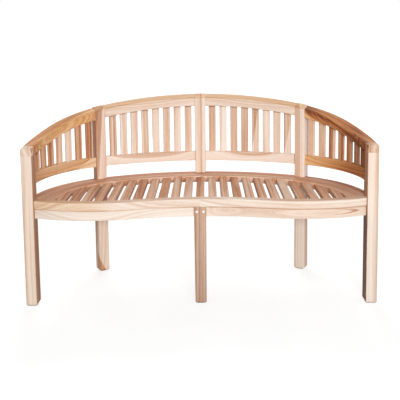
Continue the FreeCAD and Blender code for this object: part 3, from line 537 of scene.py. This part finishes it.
above_seat = beyond(at_z(0.42), UP, LEG_BLUR, depth=1.0)
dress("back_post_right", teak(
    "back_post_right", Log((0.44, 0.19, 0.0), UPRIGHT), shade=0.17,
    marks=(
        # Painted shade on the left part, above the seat
        both(beyond(at_x(0.4775), LEFT, blur=0.003, depth=0.36), above_seat),
        both(vein((0.459, 0.1624, 0.0), POST_SIDE, half_width=0.005, depth=0.55), on_leg(1.0)),
        both(vein((0.470, 0.1560, 0.0), POST_SIDE, half_width=0.003, depth=0.4), on_leg(1.0)),
        both(beyond((0.504, 0.1560, 0.0), POST_REAR, blur=0.004, depth=0.45), on_leg(1.0)),
        on_leg(-0.28),
        dark_top_shade_and_end_grain,
    ),
    tints=(golden_top_shade_and_end_grain, (RED_TEAK, on_leg(0.7)))))
dress("back_post_middle", teak(
    "back_post_middle", Log((-0.004, 0.33, 0.0), UPRIGHT), shade=0.17,
    marks=(
        vein(at_x(0.004), RIGHT, half_width=0.006, depth=0.36),
        # Painted shade on the left half
        beyond(at_x(0.002), LEFT, blur=0.003, depth=0.1),
        dark_top_shade_and_end_grain,
    ),
    tints=(golden_top_shade_and_end_grain,)))

# Middle leg: darker than the rest, and greyer and darker towards the foot
dress("front_leg_middle", teak(
    "leg_middle", Log((0.05, -0.2, 0.0), UPRIGHT), shade=0.61,
    marks=(
        beyond(at_x(0.018), RIGHT, blur=0.003, depth=0.08),
        beyond(at_z(0.16), DOWN, blur=0.16, depth=0.1),
    ),
    tints=((GREY_TEAK, beyond(at_z(0.42), DOWN, blur=0.15, depth=0.45)),)))

# Rails of the back: a golden upper face, which is painted shade, and in each lower rail a lens of dark
# heart, cut off its pith
LENS = {
    "left": ((-0.2753, 0.296, 0.595), 0.0702),
    "right": ((0.2836, 0.3389, 0.595), 0.0999),
}


def back_log(way, pith, rise=0.0):
    """A log along the chord of one half of the back."""
    return Log(pith, (0.0, math.radians(90) + way * rise, -way * BACK_CHORD))


for side, way in SIDES.items():
    dress("top_rail_" + side, teak(
        "top_rail_" + side, back_log(way, (way * 0.25, 0.20, 0.72), BACK_RISE), shade=0.26,
        marks=(dark_top_shade_and_end_grain,), tints=(golden_top_shade_and_end_grain,)))
    lens_pith, lens_radius = LENS[side]
    dress("lower_rail_" + side, teak(
        "lower_rail_" + side, back_log(way, lens_pith), shade=0.13, contrast=0.8,
        marks=(
            heart(lens_radius, blur=0.002, depth=0.3),
            year(lens_radius, half_width=0.003, depth=0.12),
        )))

# Arms: the grain sweeps along them on a wider curve than theirs, and their front ends are plain
SWEEP_EXTRA = 0.25
SWEEP_X = ARM_CENTRE_X - SWEEP_EXTRA * math.sin(ARM_CHORD)
SWEEP_Y = ARM_CENTRE_Y - SWEEP_EXTRA * math.cos(ARM_CHORD)
SWEEP_RADIUS = ARM_RADIUS + SWEEP_EXTRA
PITH_OUTWARD = 0.05
ARM_END = -0.255
ARM_END_BLUR = 0.012


def arm_log(way, level, outward=PITH_OUTWARD, rise=0.0):
    """A log whose sweep follows one arm."""
    return BentLog((way * SWEEP_X, SWEEP_Y), SWEEP_RADIUS + outward, level, rise)


def on_end(depth):
    """A mark: the front end of an arm."""
    return beyond(at_y(ARM_END), FRONT, ARM_END_BLUR, depth)


plain_end = (PLAIN_TEAK, on_end(1.0))
pale_rear = beyond((-0.54, 0.11, 0.0), (0.8, 0.6, 0.0), blur=0.08, depth=-0.16)
dress("arm_rail_left", teak(
    "arm_rail_left", arm_log(SIDES["left"], level=0.62, rise=math.tan(ARM_RISE)),
    shade=0.53, palette=AMBER_TEAK, contrast=1.6,
    marks=(pale_rear, on_end(-0.18)),
    tints=(plain_end,)))

dark_streak = vein((0.595, 0.025, 0.7375), (0.2, -0.262, 0.943), half_width=0.014, depth=0.3)
pale_corner = beyond((0.53, 0.109, 0.7505), (-0.32, 0.26, -0.91), blur=0.002, depth=-0.32)
dark_front = both(
    beyond((0.66, -0.06, 0.0), (0.4, -0.9, 0.0), blur=0.08, depth=0.2),
    beyond(at_x(0.712), LEFT, blur=0.01, depth=1.0))
dress("arm_rail_right", teak(
    "arm_rail_right", arm_log(SIDES["right"], level=0.64, rise=math.tan(ARM_RISE)),
    shade=0.7, palette=AMBER_TEAK, contrast=1.3,
    marks=(dark_streak, pale_corner, dark_front, on_end(-0.12)),
    tints=(plain_end,)))

# Lower rails of the arms: a curved line on the left one, and a darker front on the right one
LOWER_PITH = 0.60
ARC_CENTRE = (-0.583, 0.080, 0.6515)
ARC_AXIS = (-0.726, 0.688, 0.0)
ARC_SIDE = (0.69, 0.72, 0.0)
ARC_RADIUS = 0.113

rear_part = beyond(ARC_CENTRE, ARC_SIDE, blur=0.03, depth=1.0)
dress("lower_arm_rail_left", teak(
    "lower_arm_rail_left", arm_log(SIDES["left"], LOWER_PITH), shade=0.46, palette=GOLDEN_TEAK,
    marks=(
        both(arc(ARC_CENTRE, ARC_AXIS, ARC_RADIUS, half_width=0.005, depth=0.32), rear_part),
        both(outside(ARC_CENTRE, ARC_AXIS, ARC_RADIUS, blur=0.002, depth=-0.24), rear_part),
    )))
dress("lower_arm_rail_right", teak(
    "lower_arm_rail_right", arm_log(SIDES["right"], LOWER_PITH), shade=0.38, palette=AMBER_TEAK,
    marks=(beyond((0.62, 0.03, 0.0), (0.6, -0.8, 0.0), blur=0.13, depth=0.3),)))

# Planks at the rear and the sides of the seat: painted shade along their outer edges, under the back and
# the arms
PLANK_CONTRAST = 1.2
REAR_SHADOW_RADIUS = 0.93
SIDE_SHADOW_RADIUS = ARM_RADIUS - 0.02
SHADOW_BLUR = 0.004

# Painted shade along the outer edge of each plank
for side, way in SIDES.items():
    dress("seat_rail_" + side, teak(
        "seat_rail_" + side, back_log(way, (way * 0.24, 0.36, 0.40)),
        shade=0.33, palette=RED_TEAK, contrast=PLANK_CONTRAST,
        marks=(outside(BACK_CENTRE, UP, REAR_SHADOW_RADIUS, SHADOW_BLUR, depth=0.36),)))
    dress("seat_rail_arm_" + side, teak(
        "seat_rail_arm_" + side, arm_log(way, level=0.36, outward=0.0),
        shade=0.42, palette=RED_TEAK, contrast=PLANK_CONTRAST,
        marks=(outside(arm_centre(way), UP, SIDE_SHADOW_RADIUS, SHADOW_BLUR, depth=0.2),)))

# Waved boards along the front of the seat, dark on top, with aprons under them that carry a painted shadow
# line below the board
BOARD_TOP = 0.459
APRON_TOP = 0.4215
dark_board_top = beyond(at_z(BOARD_TOP), UP, SHARP, depth=0.22)
# Painted shadow: a dark line along the top of each apron, under the board
painted_shadow_line = beyond(at_z(APRON_TOP), UP, SHARP, depth=0.34)

GOLDEN_FROM = -0.42
GOLDEN_BLUR = 0.12
dress("front_board_left", teak(
    "front_board_left", Log((-0.3, -0.22, 0.50), ACROSS), shade=0.22,
    marks=(beyond(at_x(GOLDEN_FROM), LEFT, GOLDEN_BLUR, depth=0.1), dark_board_top),
    tints=((GOLDEN_TEAK, beyond(at_x(GOLDEN_FROM), LEFT, GOLDEN_BLUR, depth=0.7)),)))
dress("front_apron_left", teak(
    "front_apron_left", Log((-0.3, -0.23, 0.33), ACROSS), shade=0.13,
    marks=(painted_shadow_line,)))

WAVE_AXIS = (0.456, 0.3795)
WAVE_PITH_RADIUS = 0.65
WAVE_PITH_LEVEL = 0.75
dress("front_board_right", teak(
    "front_board_right", BentLog(WAVE_AXIS, WAVE_PITH_RADIUS, WAVE_PITH_LEVEL, behind=-1.0),
    shade=0.13, contrast=1.5,
    marks=(dark_board_top, beyond(at_x(0.3), RIGHT, blur=0.1, depth=0.1))))

# The right apron is cut so flat along its ring lines that one of them closes to a loop
LOOP_AXIS = (0.384, 0.375)
LOOP_PITH_RADIUS = 0.7047
LOOP_PITH_LEVEL = 0.409
loop = both(
    year(radius=0.0125, half_width=0.0024, depth=0.5),
    beyond(at_x(0.56), RIGHT, blur=0.1, depth=1.0))
dress("front_apron_right", teak(
    "front_apron_right", BentLog(LOOP_AXIS, LOOP_PITH_RADIUS, LOOP_PITH_LEVEL, behind=-1.0), shade=0.24,
    marks=(loop, painted_shadow_line)))

# Slats of the back and the arms, shades counted from the middle outward, 0 pale and 1 dark
BACK_SHADES = {
    "left": (0.36, 0.24, 0.36, 0.22, 0.42, 0.28, 0.28, 0.52),
    "right": (0.48, 0.14, 0.44, 0.46, 0.6, 0.24, 0.24, 0.54),
}
ARM_SHADES = {
    "left": (0.71, 0.5, 0.31, 0.43, 0.64, 0.56, 0.6, 0.6),
    "right": (0.41, 0.38, 0.6, 0.66, 0.74, 0.8, 0.84, 0.84),
}
SLAT_HEAD = (0.0, -0.019, 0.6845)
SAP_BLUR = 0.002
SAP_DEPTH = -0.34

# Painted shadow: a dark band at the tops of the slats, under the rail above them
painted_shadow_head = beyond(SLAT_HEAD, TOP_NORMAL, SHARP, depth=0.55)
SAP_EDGES = {
    "left": (),
    "right": (
        (4, beyond((0.270, 0.0, 0.675), (0.98, 0.0, -0.14), SAP_BLUR, SAP_DEPTH)),
        (7, beyond((0.427, 0.0, 0.664), (0.98, 0.0, -0.185), SAP_BLUR, SAP_DEPTH)),
    ),
}
back_index = ring_index(BACK_CENTRE, BACK_RADIUS, BACK_FIRST, BACK_PITCH)
for side, way in SIDES.items():
    dress("back_slats_" + side, slat_teak(
        "back_slats_" + side, back_index, BACK_SHADES[side], PLAIN_TEAK, UPRIGHT,
        marks=(painted_shadow_head,), own_marks=SAP_EDGES[side]))
    arm_index = ring_index(arm_centre(way), ARM_RADIUS, ARM_FIRST, ARM_PITCH)
    dress("arm_slats_" + side, slat_teak(
        "arm_slats_" + side, arm_index, ARM_SHADES[side], BROWN_TEAK, UPRIGHT,
        marks=(painted_shadow_head,)))

# Slats of the seat, in one reddish shade that changes a little from slat to slat
SEAT_SHADE = 0.42
SEAT_SWING = 0.09
SEAT_BEAT = 2.4
seat_shades = [SEAT_SHADE + SEAT_SWING * math.sin(SEAT_BEAT * number) for number in range(SEAT_SLATS)]
seat_finish = slat_teak("seat_slats", row_index, seat_shades, RED_TEAK, FORWARD)
for number in range(1, SEAT_SLATS + 1):
    dress("seat_slat_%02d" % number, seat_finish)

# Loose tongues hidden in the joints
tongue_finish = teak("tongues", Log((0.0, 0.0, 0.3), ACROSS), shade=0.4)
dress("board_tongues", tongue_finish)
dress("seat_rail_tongues", tongue_finish)

# Screws of stainless steel; a noise lies mostly between its low and high value
NOISE_LOW = 0.3
NOISE_HIGH = 0.7
STEEL_DULL = linear(196, 200, 206)
STEEL_BRIGHT = linear(222, 226, 230)
STEEL_SMOOTHEST = 0.25
STEEL_ROUGHEST = 0.42
BRUSH_RATE = (2500.0, 400.0, 2500.0)
SPOT_RATE = (300.0, 300.0, 300.0)
BRUSH_STRENGTH = 0.1
BRUSH_HEIGHT = 0.0002
HEAD_EDGE = 0.0008


def brushed_steel(name):
    """Steel with the fine marks and dull spots of a used screw head."""
    tree = Tree(bpy.data.materials.new(name))
    place = tree.place()
    marks = tree.noise(tree.vector("MULTIPLY", place, BRUSH_RATE), detail=2.0)
    spots = tree.noise(tree.vector("MULTIPLY", place, SPOT_RATE), detail=1.0)
    colour = tree.steps(spots, (STEEL_DULL, STEEL_BRIGHT), (NOISE_LOW, NOISE_HIGH))
    roughness = tree.spread(marks, NOISE_LOW, NOISE_HIGH, STEEL_SMOOTHEST, STEEL_ROUGHEST)
    normal = tree.bump(marks, BRUSH_STRENGTH, BRUSH_HEIGHT, tree.eased_normal(HEAD_EDGE))
    shader = tree.shader()
    shader.inputs["Metallic"].default_value = 1.0
    tree.feed(shader.inputs["Base Color"], colour)
    tree.feed(shader.inputs["Roughness"], roughness)
    tree.feed(shader.inputs["Normal"], normal)
    return tree.owner


dress("leg_screws", brushed_steel("brushed_steel"))

# Floor: a pale plane that keeps the bench's shadow and looks white where nothing shades it
FLOOR_HALF = 30.0
FLOOR_DARK = linear(152, 152, 152)
FLOOR_PALE = linear(158, 158, 158)
FLOOR_ROUGHNESS = 0.9
FLOOR_SHINE = 0.1
MIST_RATE = (3.0, 3.0, 3.0)
GLOW_NEAR = 1.6
GLOW_FAR = 4.0
FLOOR_GLOW = 0.75
FAR_GLOW = 1.0


def floor_paint():
    tree = Tree(bpy.data.materials.new("floor_paint"))
    place = tree.place()
    mist = tree.noise(tree.vector("MULTIPLY", place, MIST_RATE), detail=2.0)
    paint = tree.steps(mist, (FLOOR_DARK, FLOOR_PALE), (NOISE_LOW, NOISE_HIGH))
    away = tree.vector("LENGTH", place)
    glow = tree.spread(away, GLOW_NEAR, GLOW_FAR, FLOOR_GLOW, FAR_GLOW, True)
    shader = tree.shader()
    tree.feed(shader.inputs["Base Color"], paint)
    shader.inputs["Roughness"].default_value = FLOOR_ROUGHNESS
    shader.inputs["Specular IOR Level"].default_value = FLOOR_SHINE
    shader.inputs["Emission Color"].default_value = WHITE
    tree.feed(shader.inputs["Emission Strength"], tree.math("MULTIPLY", tree.shown(), glow))
    return tree.owner


floor_mesh = bpy.data.meshes.new("floor")
corners = [(-FLOOR_HALF, -FLOOR_HALF, 0.0), (FLOOR_HALF, -FLOOR_HALF, 0.0),
           (FLOOR_HALF, FLOOR_HALF, 0.0), (-FLOOR_HALF, FLOOR_HALF, 0.0)]
floor_mesh.from_pydata(corners, [], [(0, 1, 2, 3)])
floor_mesh.materials.append(floor_paint())
floor = bpy.data.objects.new("floor", floor_mesh)
bpy.context.collection.objects.link(floor)

# World: white to the eye, and a weaker plain light on the bench
SKY_LIGHT = 0.38
SKY_SEEN = 1.0


def studio_sky():
    tree = Tree(bpy.data.worlds.new("studio"))
    blend = tree.nodes.new("ShaderNodeMixShader")
    tree.feed(blend.inputs[0], tree.shown())
    for place, strength in ((1, SKY_LIGHT), (2, SKY_SEEN)):
        light = tree.nodes.new("ShaderNodeBackground")
        light.inputs["Color"].default_value = WHITE
        light.inputs["Strength"].default_value = strength
        tree.feed(blend.inputs[place], light.outputs[0])
    output = tree.nodes.new("ShaderNodeOutputWorld")
    tree.feed(output.inputs["Surface"], blend.outputs[0])
    return tree.owner


bpy.context.scene.world = studio_sky()

# Lamps: a low one in front, a little from the right, and weaker ones above and behind
LAMP_AIM = Vector((0.0, 0.0, 0.45))


def soft_lamp(name, place, width, height, power):
    """A large soft box at place, turned to the bench."""
    data = bpy.data.lights.new(name, "AREA")
    data.shape = "RECTANGLE"
    data.size = width
    data.size_y = height
    data.energy = power
    lamp = bpy.data.objects.new(name, data)
    lamp.location = place
    lamp.rotation_euler = (LAMP_AIM - Vector(place)).to_track_quat("-Z", "Y").to_euler()
    bpy.context.collection.objects.link(lamp)


soft_lamp("front_box", (0.8, -4.9, 1.5), width=1.6, height=1.0, power=181.0)
soft_lamp("top_box", (0.0, -0.6, 3.6), width=2.6, height=1.8, power=6.0)
soft_lamp("back_box", (-0.4, 3.4, 3.2), width=2.6, height=1.8, power=105.0)

# Camera, where the photograph was taken from; lengths in the picture are in its pixels
IMAGE_SIDE = 400
FOCAL_PIXELS = 707.98
FRAME_DROP = 88
SENSOR_WIDTH = 36.0
CAMERA_PLACE = (0.0306, -3.2002, 1.1847)
CAMERA_PITCH = 0.1202
CAMERA_YAW = -0.0088
CAMERA_ROLL = -0.0124

camera_data = bpy.data.cameras.new("camera")
camera_data.sensor_width = SENSOR_WIDTH
camera_data.lens = SENSOR_WIDTH * FOCAL_PIXELS / IMAGE_SIDE
camera_data.shift_y = -FRAME_DROP / IMAGE_SIDE
camera = bpy.data.objects.new("camera", camera_data)
turned = (Matrix.Rotation(-CAMERA_YAW, 4, "Z")
          @ Matrix.Rotation(math.pi / 2 - CAMERA_PITCH, 4, "X")
          @ Matrix.Rotation(CAMERA_ROLL, 4, "Z"))
camera.matrix_world = Matrix.Translation(CAMERA_PLACE) @ turned
bpy.context.collection.objects.link(camera)
bpy.context.scene.camera = camera
bpy.context.scene.view_settings.view_transform = "Standard"
